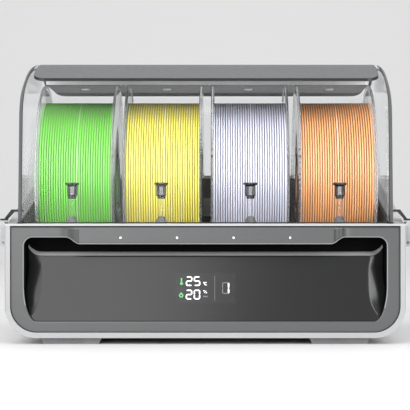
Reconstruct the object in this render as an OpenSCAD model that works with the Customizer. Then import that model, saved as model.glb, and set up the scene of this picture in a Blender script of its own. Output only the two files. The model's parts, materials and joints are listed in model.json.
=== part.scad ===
// Four-spool filament dryer box: a sealed tub with a clear hinged lid.
// Frame: +Z up, the front faces -Y, the origin is on the floor under the middle.

/* [Body] */
// Width of the casing
body_w = 376; // [370:1:384]
// Height of the casing's underside above the floor
body_base = 6; // [4:0.5:8]
// Radius of the casing's lower corners
body_corner = 30; // [24:1:34]
// Height of the rim at the front
rim_front = 111; // [109:0.5:113]
// Height of the rim at the rear
rim_rear = 162; // [158:0.5:164]
// Thickness of the casing's walls
wall = 5; // [4:0.5:6]

/* [Lid] */
// Width of the clear lid
lid_w = 356; // [352:1:360]
// Thickness of the clear lid
lid_wall = 2.5; // [2:0.5:3]
// Height of the lid's crown
crown = 276; // [274:0.5:280]

/* [Spools] */
// Distance from one spool to the next
pitch = 86; // [85:0.5:87]
// Radius of a spool's flanges
flange_r = 97.5; // [94:0.5:98]
// Width over a spool's flanges
spool_w = 77; // [74:1:78]
// Radius of the wound filament
winding_r = 80; // [50:1:92]
// Radius of a spool's through hole
spool_bore_r = 27; // [25:0.5:30]
// Height of the spools' centres
spool_z = 157; // [156:0.5:158]

/* [Rollers and feeders] */
// Radius of the rubber rings that carry the flanges
roller_r = 8; // [7:0.5:9]
// Angle of each roller from straight under the spool's centre
roller_angle = 35; // [32:1:38]
// Radius of the feed gears
gear_r = 4.5; // [4:0.1:4.7]

/* [Latches] */
// How far a latch stands out from the casing
latch_out = 9; // [9:0.5:10]
// Length of a latch from front to rear
latch_l = 26; // [20:1:30]

/* [Hidden] */
$fn = 64;

big = 500;
cut = 1;
half_w = body_w / 2;
body_front = -157;
body_rear = 151;
hinge_reach = 157;
slope_start = -125;
slope_end = 125;
trim_t = 2;
trim_out = 1.5;
rear_corner = 14;
spool_x = [-1.5 * pitch, -0.5 * pitch, 0.5 * pitch, 1.5 * pitch];
boundary_x = [-2 * pitch, -pitch, 0, pitch, 2 * pitch];

// Front panel: an apron over a finger groove, then a panel that leans back into the casing
panel_front = -156;
panel_rear = -128;
panel_half = half_w - wall - 0.2;
panel_top = rim_front - 0.8;
apron_z = 93.8;
apron_end_z = 100.3;
apron_half = 118;
apron_blend = 13;
groove_z = 86.7;
groove_depth = 22;
recess_half = 170.5;
plate_half = 154.5;
plate_t = 2.5;
lean_z = 21.7;
lean_top = 83;
lean_depth = 18;
lean = atan(lean_depth / (lean_top - lean_z));
lean_len = (lean_top - lean_z) / cos(lean);
window_w = 56.6;
window_h = 29.6;
window_s = 17.1;
window_t = 1.5;
light_x = [-79.5, -26.5, 26.5, 79.5];
light_z = 100;
light_r = 0.9;

// Underside
foot_x = 126.5;
foot_front = -136;
foot_rear = 134;
cover_half = 150;
cover_front = -118;
cover_rear = 118;
cover_t = 2;
cover_lap = 10;
screw_r = 1.5;
screw_head_r = 3.2;

// Chamber
tub_half = 177;
tub_wall = 3;
tub_front = -122;
tub_rear = 141;
floor_z = 53;
floor_t = 3;

// Lid profile, as distances from front to rear and heights
lid_half = lid_w / 2;
lid_gap = 3.5;
lid_front = -154;
lid_rear = 145.3;
lid_r = 12;
hinge_y = body_rear + 0.3;
hinge_z = rim_rear + 8;
pin_r = 2.5;
knuckle_r = 5.5;
run = 0.05;
knuckle_x = [-118, 118];
knuckle_l = 24;
ear_x = 16;
ear_w = 7;
cap_front = -97;
cap_rear = 112;
cap_t = 2.5;
cap_low = 250;
cap_half = 169;
cap_r = 12;
liner_z = 255.3;
liner_h = 5.2;
liner_t = 2;
liner_half = 166;
liner_front = -11;
liner_rear = 92;
liner_r = 10;
rib_t = 2;
rib_gap = 2.8;
rib_h = 8.5;
post_x = 150;
lamp_y = 38;
lamp_r = 4.3;
lamp_h = 1.2;

// Rollers
roller_gap = 0.3;
roller_reach = flange_r + roller_r + roller_gap;
roller_y = roller_reach * sin(roller_angle);
roller_z = spool_z - roller_reach * cos(roller_angle);
flange_t = 2;
ring_w = 5;
ring_end = 40;
axle_r = 4;
journal_r = 3;
bracket_t = 5;
socket_depth = 2;

// Feeders: the filament runs straight down between two gears
path_y = -111;
path_r = 1.2;
gear_z = 90;
gear_gap = 1;
gear_half = 6;
feeder_half = 17;
tube_top = 62;
feeder_top = 112.5;
feeder_front = -121.8;
feeder_rear = -93;
gear_shaft_r = 2;
feed_motor_r = 10;
motor_l = 24;
bend_r = 15;
run_z = 30;
tube_r = 2;
hub_front = 96;
rewind_motor_r = 8;
motor_z = floor_z - floor_t - rewind_motor_r;
port_x = -110;
port_z = 42;
socket_x = [60, 100];
socket_z = 41;

// Latches
latch_y = -128;
latch_pivot_x = half_w + 4.6;
latch_pivot_z = 95;
barrel_r = 3.8;
latch_pin_r = 1.5;
latch_top = 115;
lug_low = 116;
lug_high = 126.6;

module along_x(low, high) {
    translate([low, 0, 0]) rotate([90, 0, 90]) linear_extrude(high - low) children();
}

module along_y(low, high) {
    translate([0, high, 0]) rotate([90, 0, 0]) linear_extrude(high - low) children();
}

// A round bar along X between two places
module bar_x(low, high, y, z, r) {
    translate([low, y, z]) rotate([0, 90, 0]) cylinder(r = r, h = high - low);
}

// A round bar along Y between two places
module bar_y(low, high, x, z, r) {
    translate([x, low, z]) rotate([-90, 0, 0]) cylinder(r = r, h = high - low);
}

// A box from its lowest corner to its highest corner
module block(low, high) {
    translate(low) cube(high - low);
}

// Rectangle between two corners with one radius at the front corners and one at the rear
module plan_outline(half, front, rear, r_front, r_rear) {
    translate([-half, front + r_front]) square([2 * half, rear - front - r_front - r_rear]);
    translate([-half + r_front, front]) square([2 * (half - r_front), r_front + cut]);
    translate([-half + r_rear, rear - r_rear - cut]) square([2 * (half - r_rear), r_rear + cut]);
    for (side = [-1, 1]) {
        translate([side * (half - r_front), front + r_front]) circle(r = r_front);
        translate([side * (half - r_rear), rear - r_rear]) circle(r = r_rear);
    }
}

// Front view of the casing: straight sides and round lower corners
module casing_outline(half, low, high, r) {
    translate([-half, low + r]) square([2 * half, high - low - r]);
    translate([-half + r, low]) square([2 * (half - r), r + cut]);
    for (side = [-1, 1]) {
        translate([side * (half - r), low + r]) circle(r = r);
    }
}

// Slab that follows the rim from front to rear, between two heights above it
module rim_slab(low, high) {
    along_x(-big, big) polygon([
        [-big, rim_front + low], [slope_start, rim_front + low],
        [slope_end, rim_rear + low], [big, rim_rear + low],
        [big, rim_rear + high], [slope_end, rim_rear + high],
        [slope_start, rim_front + high], [-big, rim_front + high]
    ]);
}

module below_rim() {
    along_x(-big, big) polygon([
        [-big, -cut], [big, -cut], [big, rim_rear], [slope_end, rim_rear],
        [slope_start, rim_front], [-big, rim_front]
    ]);
}

// Puts a shape on the leaning panel: X across, Y up the slope, Z out of it
module on_lean() {
    translate([0, panel_front, lean_z]) rotate([90 - lean, 0, 0]) children();
}

function bezier(p, t) = pow(1 - t, 3) * p[0] + 3 * t * pow(1 - t, 2) * p[1]
    + 3 * t * t * (1 - t) * p[2] + pow(t, 3) * p[3];

function curve_points(p, steps) = [for (i = [1 : steps]) bezier(p, i / steps)];

// Top line of the lid in side view, from the front wall over the crown to the rear wall.
// The inset moves it inwards for the inside of the shell.
function lid_line(inset) = concat(
    [[lid_front + inset, 0], [-135 + inset, 218]],
    curve_points([[-135 + inset, 218], [-131 + inset, 240 - inset / 2],
        [-112 + inset / 2, 248 - inset], [-88, 258.5 - inset]], 8),
    curve_points([[-88, 258.5 - inset], [-62, 269.9 - inset],
        [-30, crown - inset], [8, crown - inset]], 8),
    curve_points([[8, crown - inset], [70, crown - inset],
        [112 - inset / 2, 262 - inset], [134 - inset, 226 - inset / 2]], 10),
    curve_points([[134 - inset, 226 - inset / 2], [143 - inset, 211],
        [lid_rear - inset, 190], [lid_rear - inset, 165]], 5),
    [[lid_rear - inset, 0]]
);

// Solid inside the lid line, with round upright corners
module lid_solid(inset) {
    intersection() {
        along_x(-lid_half + inset, lid_half - inset) polygon(lid_line(inset));
        linear_extrude(big) plan_outline(lid_half - inset, lid_front + inset,
            lid_rear - inset, lid_r - inset, lid_r - inset);
    }
}

module above_rim(offset_z) {
    rim_slab(offset_z, big);
}

module outer_shell() {
    color("gainsboro") difference() {
        intersection() {
            along_y(body_front, body_rear) casing_outline(half_w, body_base, big, body_corner);
            below_rim();
            linear_extrude(big) plan_outline(half_w, body_front, body_rear, 2, rear_corner);
        }
        along_y(body_front - cut, body_rear - wall)
            casing_outline(half_w - wall, body_base + wall, big, body_corner - wall);
        block([-cover_half + cover_lap, cover_front + cover_lap, 0],
            [cover_half - cover_lap, cover_rear - cover_lap, body_base + wall + cut]);
        bar_y(body_rear - wall - cut, body_rear + cut, port_x, port_z, 6);
        for (x = socket_x) {
            block([x - 8, body_rear - wall - cut, socket_z - 7], [x + 8, body_rear + cut, socket_z + 7]);
        }
        screw_holes();
    }
}

// Runs its children at each screw in the underside
module at_screws() {
    for (x = [-cover_half + cover_lap / 2, cover_half - cover_lap / 2]) {
        for (y = [-90, 0, 90]) {
            translate([x, y, 0]) children();
        }
    }
}

module screw_holes() {
    at_screws() cylinder(r = screw_r, h = body_base + wall + cut);
}

module bottom_cover() {
    color("dimgray") difference() {
        block([-cover_half, cover_front, body_base - cover_t], [cover_half, cover_rear, body_base]);
        screw_holes();
        for (row = [0 : 7]) {
            block([-30, -24 + row * 7, 0], [30, -21 + row * 7, body_base + cut]);
        }
    }
}

// Lower edge of the apron: high at the ends, low across the middle, joined by two S curves
function apron_line(side) = [for (i = [0 : 8])
    [side * (apron_half + apron_blend * 2 * i / 8),
        apron_z + (apron_end_z - apron_z) * (1 - cos(180 * i / 8)) / 2]];

module groove_outline() {
    polygon(concat(
        [[-recess_half, groove_z], [recess_half, groove_z], [recess_half, apron_end_z]],
        [for (i = [8 : -1 : 0]) apron_line(1)[i]],
        apron_line(-1),
        [[-recess_half, apron_end_z]]
    ));
}

module front_panel() {
    color("gray") difference() {
        along_y(panel_front, panel_rear)
            casing_outline(panel_half, body_base + wall + 0.2, panel_top, body_corner - wall);
        along_y(panel_front - cut, panel_front + groove_depth) groove_outline();
        along_x(-recess_half, recess_half) polygon([
            [panel_front - cut, lean_z - cut], [panel_front, lean_z],
            [panel_front + lean_depth, lean_top], [panel_front + lean_depth, groove_z + cut],
            [panel_front - cut, groove_z + cut]
        ]);
        on_lean() block([-plate_half, 0, -plate_t], [plate_half, lean_len, cut]);
        on_lean() block([-window_w / 2 + 3, window_s + 3, -20],
            [window_w / 2 - 3, window_s + window_h - 3, 0]);
        along_x(-plate_half, plate_half) polygon([
            [panel_rear + cut, 15], [panel_front + 8, 15],
            [panel_front + lean_depth + 7, lean_top - 4], [panel_rear + cut, lean_top - 4]
        ]);
        block([-plate_half, panel_front + 5, apron_end_z + 2],
            [plate_half, panel_rear + cut, panel_top - 3]);
        for (x = light_x) {
            bar_y(panel_front - cut, panel_front + 30, x, light_z, light_r);
        }
    }
}

module recess_panel() {
    color("darkslategray") on_lean() difference() {
        block([-plate_half, 0, -plate_t], [plate_half, lean_len, 0]);
        block([-window_w / 2, window_s, -window_t],
            [window_w / 2, window_s + window_h, cut]);
        block([-window_w / 2 + 3, window_s + 3, -plate_t - cut],
            [window_w / 2 - 3, window_s + window_h - 3, cut]);
    }
}

module display_window() {
    color("black") on_lean() block([-window_w / 2, window_s, -window_t],
        [window_w / 2, window_s + window_h, 0.3]);
}

module display_module() {
    color("green") on_lean() block([-window_w / 2 + 3.5, window_s + 3.5, -7],
        [window_w / 2 - 3.5, window_s + window_h - 3.5, -window_t]);
}

module indicator_lights() {
    color("white") for (x = light_x) {
        bar_y(panel_front - 0.3, panel_front + 5, x, light_z, light_r);
    }
}

module rim_trim() {
    color("whitesmoke") intersection() {
        rim_slab(0, trim_t);
        linear_extrude(big) difference() {
            plan_outline(half_w + trim_out, body_front, body_rear + trim_out, 3, rear_corner);
            plan_outline(tub_half, tub_front, tub_rear, 8, 8);
            for (x = knuckle_x) {
                for (side = [-1, 1]) {
                    translate([x + side * ear_x - ear_w / 2, body_rear]) square([ear_w, 10]);
                }
            }
        }
    }
}

module inner_tub() {
    color("dimgray") difference() {
        intersection() {
            linear_extrude(big) plan_outline(tub_half + tub_wall, tub_front - tub_wall,
                tub_rear + tub_wall, 10, 10);
            below_rim();
            block([-big, -big, floor_z - floor_t], [big, big, big]);
        }
        translate([0, 0, floor_z]) linear_extrude(big)
            plan_outline(tub_half, tub_front, tub_rear, 8, 8);
        for (x = spool_x) {
            translate([x, path_y, 0]) cylinder(r = tube_r + 0.5, h = 2 * floor_z);
        }
    }
}

module foot(x, y) {
    translate([x, y, 0]) rotate([90, 0, 0]) linear_extrude(24, center = true)
        polygon([[-26, 0], [26, 0], [29, body_base], [-29, body_base]]);
}

module feet() {
    color("slategray") for (x = [-foot_x, foot_x]) {
        for (y = [foot_front, foot_rear]) {
            foot(x, y);
        }
    }
}

module control_board() {
    color("darkgreen") union() {
        block([-70, -60, 20], [70, 20, 21.6]);
        block([-60, -50, 21.6], [-35, -25, 24]);
        block([10, -40, 21.6], [22, -28, 23]);
        block([-60, 2, 21.6], [60, 10, 27]);
        for (side = [-1, 1]) {
            block([side * 66 - 3, -58, body_base], [side * 66 + 3, -52, 20]);
            block([side * 66 - 3, 12, body_base], [side * 66 + 3, 18, 20]);
        }
    }
}

module humidity_sensor() {
    color("white") difference() {
        block([-9, tub_rear - 12, 120], [9, tub_rear, 140]);
        for (row = [0 : 3]) {
            block([-6, tub_rear - 13, 123 + row * 4], [6, tub_rear - 9, 125 + row * 4]);
        }
    }
}

// Slotted canister for drying beads
module desiccant_box(x) {
    difference() {
        block([x - 34, 108, floor_z], [x + 34, 138, 112]);
        block([x - 32, 110, floor_z + 2], [x + 32, 136, 110]);
        for (column = [-4 : 4]) {
            block([x + column * 6.5 - 1.2, 100, 62], [x + column * 6.5 + 1.2, 109, 104]);
        }
    }
}

module desiccant_boxes() {
    color("lightgray") for (x = [spool_x[0], spool_x[3]]) {
        desiccant_box(x);
    }
}

module roller_brackets() {
    color("dimgray") difference() {
        for (x = boundary_x) {
            for (side = [-1, 1]) {
                block([x - bracket_t / 2, side * roller_y - 12, floor_z],
                    [x + bracket_t / 2, side * roller_y + 12, roller_z + 10]);
            }
        }
        for (x = spool_x) {
            for (y = [-roller_y, roller_y]) {
                for (side = [-1, 1]) {
                    translate([x + side * (pitch / 2 - bracket_t / 2), y, roller_z])
                        rotate([0, side * 90, 0]) translate([0, 0, -cut])
                        cylinder(r = journal_r + run, h = socket_depth + cut);
                }
            }
        }
    }
}

module roller(x, y) {
    bar_x(x - ring_end, x + ring_end, y, roller_z, axle_r);
    bar_x(x - ring_end - 2.3, x + ring_end + 2.3, y, roller_z, journal_r);
    for (side = [-1, 1]) {
        bar_x(x + side * (ring_end - ring_w / 2) - ring_w / 2,
            x + side * (ring_end - ring_w / 2) + ring_w / 2, y, roller_z, roller_r);
    }
}

module drive_roller(index) {
    color("darkslategray") roller(spool_x[index], -roller_y);
}

module idler_roller(index) {
    color("darkslategray") roller(spool_x[index], roller_y);
}

// Motor that rewinds a spool, hung under the chamber's floor
module rewind_motor(x) {
    bar_x(x - 16, x + 16, -roller_y, motor_z, rewind_motor_r);
    bar_x(x + 16, x + 24, -roller_y, motor_z, 3);
    block([x - 10, -roller_y - 6, motor_z], [x + 10, -roller_y + 6, floor_z - floor_t]);
}

// Motor that turns a feed gear, on the side of its feeder
module feed_motor(x) {
    difference() {
        bar_x(x + feeder_half, x + feeder_half + motor_l, path_y + gear_gap + gear_r,
            gear_z, feed_motor_r);
        bar_x(x + feeder_half - cut, x + feeder_half + 7, path_y + gear_gap + gear_r,
            gear_z, gear_shaft_r + run);
    }
}

module drive_motors() {
    color("silver") for (x = spool_x) {
        rewind_motor(x);
        feed_motor(x);
    }
}

module feeder_housing(x) {
    difference() {
        block([x - feeder_half, feeder_front, floor_z], [x + feeder_half, feeder_rear, feeder_top]);
        translate([x, path_y, 0]) cylinder(r = path_r, h = big);
        translate([x, path_y, 0]) cylinder(r = tube_r + run, h = tube_top);
        block([x - gear_half - 0.5, feeder_front - cut, gear_z - 9],
            [x + gear_half + 0.5, feeder_rear - 4, gear_z + 9]);
        bar_x(x - 11, x + feeder_half + cut, path_y + gear_gap + gear_r, gear_z, gear_shaft_r + run);
        bar_x(x - 11, x + 11, path_y - gear_gap - gear_r, gear_z, gear_shaft_r + run);
    }
}

module feeder_housings() {
    color("dimgray") for (x = spool_x) {
        feeder_housing(x);
    }
}

// Toothed drive wheel on its shaft
module gear_on_shaft(x, y, low, high) {
    bar_x(low, high, y, gear_z, gear_shaft_r);
    difference() {
        bar_x(x - gear_half, x + gear_half, y, gear_z, gear_r);
        for (tooth = [0 : 11]) {
            translate([x, y, gear_z]) rotate([tooth * 30, 0, 0])
                translate([-gear_half - cut, -0.4, gear_r - 0.5])
                cube([2 * gear_half + 2 * cut, 0.8, 2]);
        }
    }
}

module feed_gear(index) {
    color("goldenrod") gear_on_shaft(spool_x[index], path_y + gear_gap + gear_r,
        spool_x[index] - 10, spool_x[index] + feeder_half + 6);
}

module pinch_gear(index) {
    color("goldenrod") gear_on_shaft(spool_x[index], path_y - gear_gap - gear_r,
        spool_x[index] - 10, spool_x[index] + 10);
}

// Cup that catches the filament above each feeder
module guide_funnels() {
    color("black") for (x = spool_x) {
        translate([x, path_y, 0]) rotate_extrude() polygon([
            [2.1, 137], [5.4, 137], [5.4, 138.6], [4.4, 138.6], [5.4, 141], [5.7, 149.5],
            [7, 150.5], [7, 152.5], [5.4, 152.5], [3.6, 146], [2.1, 143]
        ]);
    }
}

module inlet_collars() {
    color("gray") for (x = spool_x) {
        translate([x, path_y, 0]) rotate_extrude() polygon([
            [2.1, feeder_top], [6, feeder_top], [6, feeder_top + 2], [4.9, 116.5],
            [4, 118.5], [2.8, 120], [2.1, 120]
        ]);
    }
}

// White tube between a funnel and its feeder
module guide_tube(x) {
    translate([x, path_y, 0]) rotate_extrude() polygon([
        [1.1, 116], [2.05, 116], [2.05, 142], [1.1, 142]
    ]);
}

// White tube from one feeder down, round a bend and back to the hub
module feed_tube(x) {
    translate([x, path_y, run_z + bend_r]) cylinder(r = tube_r, h = tube_top - run_z - bend_r);
    bar_y(path_y + bend_r, hub_front, x, run_z, tube_r);
    translate([x, path_y + bend_r, run_z + bend_r]) rotate([0, 90, 0])
        rotate_extrude(angle = -90) translate([bend_r, 0]) circle(r = tube_r);
}

module filament_tubes() {
    color("white") for (x = spool_x) {
        guide_tube(x);
        feed_tube(x);
    }
}

module filament_hub() {
    color("gray") difference() {
        block([spool_x[0] - 12, hub_front, body_base + wall], [spool_x[3] + 12, hub_front + 22, 44]);
        for (index = [0 : 2]) {
            block([spool_x[index] + 14, hub_front - cut, 24],
                [spool_x[index + 1] - 14, hub_front + 16, 50]);
        }
    }
}

module outlet_port() {
    color("black") difference() {
        union() {
            bar_y(body_rear - 16, hinge_reach, port_x, port_z, 5.8);
            bar_y(body_rear, hinge_reach - 2, port_x, port_z, 9);
        }
        bar_y(body_rear - 10, hinge_reach + cut, port_x, port_z, tube_r + run);
    }
}

module signal_sockets() {
    color("black") for (x = socket_x) {
        difference() {
            block([x - 7.8, body_rear - 14, socket_z - 6.8], [x + 7.8, body_rear, socket_z + 6.8]);
            block([x - 6, body_rear - 11, socket_z - 5], [x + 6, body_rear + cut, socket_z + 5]);
        }
    }
}

module casing_screws() {
    color("silver") at_screws() difference() {
        union() {
            translate([0, 0, body_base - cover_t - 1.4]) cylinder(r = screw_head_r, h = 1.4);
            translate([0, 0, body_base - cover_t - 0.2]) cylinder(r = screw_r, h = cover_t + wall);
        }
        translate([0, 0, body_base - cover_t - 2.4]) cylinder(r = 1.2, h = 2, $fn = 6);
    }
}

// Two ears on the casing with the lid's knuckle between them
module hinge_brackets() {
    color("dimgray") for (x = knuckle_x) {
        for (side = [-1, 1]) {
            difference() {
                union() {
                    bar_x(x + side * ear_x - ear_w / 2, x + side * ear_x + ear_w / 2,
                        hinge_y, hinge_z, knuckle_r);
                    block([x + side * ear_x - ear_w / 2, body_rear, rim_rear - 14],
                        [x + side * ear_x + ear_w / 2, hinge_reach, hinge_z]);
                }
                bar_x(x - 30, x + 30, hinge_y, hinge_z, pin_r);
            }
        }
    }
}

module hinge_pins() {
    color("silver") for (x = knuckle_x) {
        bar_x(x - 20, x + 20, hinge_y, hinge_z, pin_r);
    }
}

module lid_knuckles() {
    color("gray") for (x = knuckle_x) {
        difference() {
            union() {
                bar_x(x - knuckle_l / 2, x + knuckle_l / 2, hinge_y, hinge_z, knuckle_r);
                block([x - knuckle_l / 2, lid_rear, hinge_z - 2],
                    [x + knuckle_l / 2, hinge_y + 1, hinge_z + 12]);
            }
            bar_x(x - 30, x + 30, hinge_y, hinge_z, pin_r + run);
        }
    }
}

// Opening in the top of the clear shell, with round corners, that the cap fills
module cap_prism() {
    translate([0, 0, cap_low]) linear_extrude(big)
        plan_outline(cap_half, cap_front, cap_rear, cap_r, cap_r);
}

module lid_shell() {
    color("lightblue", 0.4) difference() {
        intersection() {
            lid_solid(0);
            above_rim(lid_gap);
        }
        lid_solid(lid_wall);
        cap_prism();
    }
}

// Crowned cover that closes the top of the lid
module lid_cap() {
    color("gray") difference() {
        intersection() {
            lid_solid(0);
            cap_prism();
        }
        lid_solid(cap_t);
    }
}

// Shallow tray hung under the cap by two posts, with a pair of ribs over each gap between spools
module lid_liner() {
    color("silver") intersection() {
        lid_solid(cap_t + 0.5);
        union() {
            difference() {
                translate([0, 0, liner_z]) linear_extrude(liner_h)
                    plan_outline(liner_half, liner_front, liner_rear, 3, liner_r);
                translate([0, 0, liner_z + liner_t]) linear_extrude(liner_h)
                    plan_outline(liner_half - liner_t, liner_front + liner_t,
                        liner_rear - liner_t, 1, liner_r - liner_t);
            }
            for (x = [-pitch, 0, pitch]) {
                for (side = [-1, 1]) {
                    translate([x + side * (rib_gap + rib_t) / 2 - rib_t / 2, liner_front - 1, liner_z - 1])
                        cube([rib_t, 1 + liner_t / 2, rib_h]);
                }
            }
            for (side = [-1, 1]) {
                block([side * post_x - 3, 0, liner_z + cut], [side * post_x + 3, 16, crown]);
            }
        }
    }
}

module lid_lamps() {
    color("white") for (x = spool_x) {
        translate([x, lamp_y, liner_z - lamp_h]) cylinder(r = lamp_r, h = lamp_h);
    }
}

module lid_seal() {
    color("black") intersection() {
        rim_slab(trim_t + 0.3, lid_gap);
        linear_extrude(big) difference() {
            plan_outline(lid_half, lid_front, lid_rear, lid_r, lid_r);
            plan_outline(lid_half - 4, lid_front + 4, lid_rear - 4, lid_r - 4, lid_r - 4);
        }
    }
}

// Hook that slopes out over the rim from the lid's right side
module lug() {
    along_y(latch_y + 4, latch_y + latch_l - 4) polygon([
        [lid_half, lug_high - 2.2], [half_w - 3, lug_high - 2.2], [half_w + 3.2, lug_low + 1.8],
        [half_w + 3.2, lug_low], [half_w + latch_out - 0.3, lug_low],
        [half_w + latch_out - 0.3, lug_low + 1.8], [half_w + 4.8, lug_low + 1.8],
        [half_w - 2, lug_high], [lid_half, lug_high]
    ]);
}

module lid_lugs() {
    color("dimgray") union() {
        lug();
        mirror([1, 0, 0]) lug();
    }
}

// Lever that folds out and down about the pin at its lower end; built for the right side
module latch() {
    difference() {
        union() {
            bar_y(latch_y, latch_y + latch_l, latch_pivot_x, latch_pivot_z, barrel_r);
            along_y(latch_y, latch_y + latch_l) polygon([
                [latch_pivot_x - 2.4, latch_pivot_z], [half_w + 2.4, 105], [half_w + 3, 112],
                [half_w + 4.4, latch_top], [half_w + 6.8, latch_top], [half_w + latch_out, 112.4],
                [half_w + latch_out, 110.6], [half_w + 7.6, 107],
                [latch_pivot_x + barrel_r, latch_pivot_z]
            ]);
        }
        bar_y(latch_y - cut, latch_y + latch_l + cut, latch_pivot_x, latch_pivot_z,
            latch_pin_r + run);
    }
}

module latch_right() {
    color("silver") latch();
}

module latch_left() {
    color("silver") mirror([1, 0, 0]) latch();
}

module latch_brackets() {
    color("gray") for (side = [-1, 1]) {
        for (y = [latch_y - 4.5, latch_y + latch_l + 0.5]) {
            difference() {
                union() {
                    bar_y(y, y + 4, side * latch_pivot_x, latch_pivot_z, barrel_r);
                    block([side > 0 ? half_w : -latch_pivot_x, y, latch_pivot_z - barrel_r],
                        [side > 0 ? latch_pivot_x : -half_w, y + 4, latch_pivot_z + barrel_r]);
                }
                bar_y(y - cut, y + 4 + cut, side * latch_pivot_x, latch_pivot_z, latch_pin_r);
            }
        }
    }
}

module latch_pins() {
    color("silver") for (side = [-1, 1]) {
        bar_y(latch_y - 4.5, latch_y + latch_l + 4.5, side * latch_pivot_x, latch_pivot_z,
            latch_pin_r);
    }
}

module spool(index) {
    x = spool_x[index];
    color("white", 0.4) difference() {
        union() {
            bar_x(x - spool_w / 2, x + spool_w / 2, 0, spool_z, 40);
            bar_x(x - spool_w / 2, x - spool_w / 2 + flange_t, 0, spool_z, flange_r);
            bar_x(x + spool_w / 2 - flange_t, x + spool_w / 2, 0, spool_z, flange_r);
        }
        bar_x(x - spool_w, x + spool_w, 0, spool_z, spool_bore_r);
    }
}

module filament(index, shade) {
    x = spool_x[index];
    color(shade) difference() {
        bar_x(x - spool_w / 2 + flange_t, x + spool_w / 2 - flange_t, 0, spool_z, winding_r);
        bar_x(x - spool_w, x + spool_w, 0, spool_z, 40);
    }
}

outer_shell();
bottom_cover();
front_panel();
recess_panel();
rim_trim();
inner_tub();
feet();
display_window();
display_module();
indicator_lights();
control_board();
humidity_sensor();
desiccant_boxes();
roller_brackets();
drive_motors();
feeder_housings();
guide_funnels();
inlet_collars();
filament_tubes();
filament_hub();
outlet_port();
signal_sockets();
casing_screws();
hinge_brackets();
hinge_pins();
latch_brackets();
latch_pins();
lid_shell();
lid_cap();
lid_liner();
lid_lamps();
lid_seal();
lid_knuckles();
lid_lugs();
latch_left();
latch_right();
spool(0);  // spool_1
spool(1);  // spool_2
spool(2);  // spool_3
spool(3);  // spool_4
filament(0, "yellowgreen");  // filament_1
filament(1, "khaki");  // filament_2
filament(2, "lavender");  // filament_3
filament(3, "sandybrown");  // filament_4
drive_roller(0);  // drive_roller_1
drive_roller(1);  // drive_roller_2
drive_roller(2);  // drive_roller_3
drive_roller(3);  // drive_roller_4
idler_roller(0);  // idler_roller_1
idler_roller(1);  // idler_roller_2
idler_roller(2);  // idler_roller_3
idler_roller(3);  // idler_roller_4
feed_gear(0);  // feed_gear_1
feed_gear(1);  // feed_gear_2
feed_gear(2);  // feed_gear_3
feed_gear(3);  // feed_gear_4
pinch_gear(0);  // pinch_gear_1
pinch_gear(1);  // pinch_gear_2
pinch_gear(2);  // pinch_gear_3
pinch_gear(3);  // pinch_gear_4
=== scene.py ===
"""Looks of a four-spool filament dryer box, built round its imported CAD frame.

Lengths are in mm, and become metres where a mesh or the camera is made. Only the floor and the lights
are in metres throughout.
"""
import json
import math
import random

import bpy
import bmesh
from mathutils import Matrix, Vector


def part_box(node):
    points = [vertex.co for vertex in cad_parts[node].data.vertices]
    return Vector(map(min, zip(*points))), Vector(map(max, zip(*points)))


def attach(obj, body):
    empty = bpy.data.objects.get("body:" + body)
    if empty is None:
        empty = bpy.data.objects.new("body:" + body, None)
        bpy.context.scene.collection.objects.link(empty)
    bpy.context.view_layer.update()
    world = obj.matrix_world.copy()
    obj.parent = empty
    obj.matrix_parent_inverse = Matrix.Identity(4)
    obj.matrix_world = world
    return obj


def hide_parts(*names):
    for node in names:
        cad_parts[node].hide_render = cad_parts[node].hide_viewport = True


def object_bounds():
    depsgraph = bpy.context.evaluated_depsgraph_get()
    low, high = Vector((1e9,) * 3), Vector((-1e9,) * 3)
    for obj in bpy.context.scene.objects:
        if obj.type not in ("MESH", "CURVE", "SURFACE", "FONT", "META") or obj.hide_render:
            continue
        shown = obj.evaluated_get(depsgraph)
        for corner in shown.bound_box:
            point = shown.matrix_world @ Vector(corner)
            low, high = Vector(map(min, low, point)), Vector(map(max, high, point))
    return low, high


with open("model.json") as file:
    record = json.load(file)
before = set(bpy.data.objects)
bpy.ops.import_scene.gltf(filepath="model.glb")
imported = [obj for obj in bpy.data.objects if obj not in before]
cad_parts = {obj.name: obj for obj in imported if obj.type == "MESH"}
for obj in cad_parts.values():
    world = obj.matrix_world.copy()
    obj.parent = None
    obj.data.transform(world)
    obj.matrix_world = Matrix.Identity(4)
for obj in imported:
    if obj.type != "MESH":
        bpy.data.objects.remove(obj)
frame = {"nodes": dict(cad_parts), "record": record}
cad_bounds = [list(corner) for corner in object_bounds()]

MM = 0.001
SEED = 7
BASE = "casing"
SPOOLS = [1, 2, 3, 4]
SHARP_ANGLE = 35.0      # edges steeper than this many degrees are shown sharp

random.seed(SEED)
scene = bpy.context.scene


# ---------------------------------------------------------------- frame sizes

def box_mm(node):
    low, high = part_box(node)
    return low / MM, high / MM


def centre_mm(node):
    low, high = box_mm(node)
    return (low + high) / 2


# ---------------------------------------------------------------- materials

def new_material(name):
    mat = bpy.data.materials.new(name)
    mat.use_nodes = True
    tree = mat.node_tree
    shader = tree.nodes["Principled BSDF"]
    return mat, tree, shader


def scaled(colour, factor):
    """The colour made darker or lighter, up to full brightness."""
    return tuple(min(1.0, c * factor) for c in colour)


def noise(tree, scale, detail=2.0, roughness=0.5, stretch=(1, 1, 1)):
    """Noise in the object's own space, with scale in cells per metre."""
    place = tree.nodes.new("ShaderNodeTexCoord")
    mapping = tree.nodes.new("ShaderNodeMapping")
    mapping.inputs["Scale"].default_value = stretch
    node = tree.nodes.new("ShaderNodeTexNoise")
    node.inputs["Scale"].default_value = scale
    node.inputs["Detail"].default_value = detail
    node.inputs["Roughness"].default_value = roughness
    tree.links.new(place.outputs["Object"], mapping.inputs["Vector"])
    tree.links.new(mapping.outputs["Vector"], node.inputs["Vector"])
    return node.outputs["Fac"]


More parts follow.
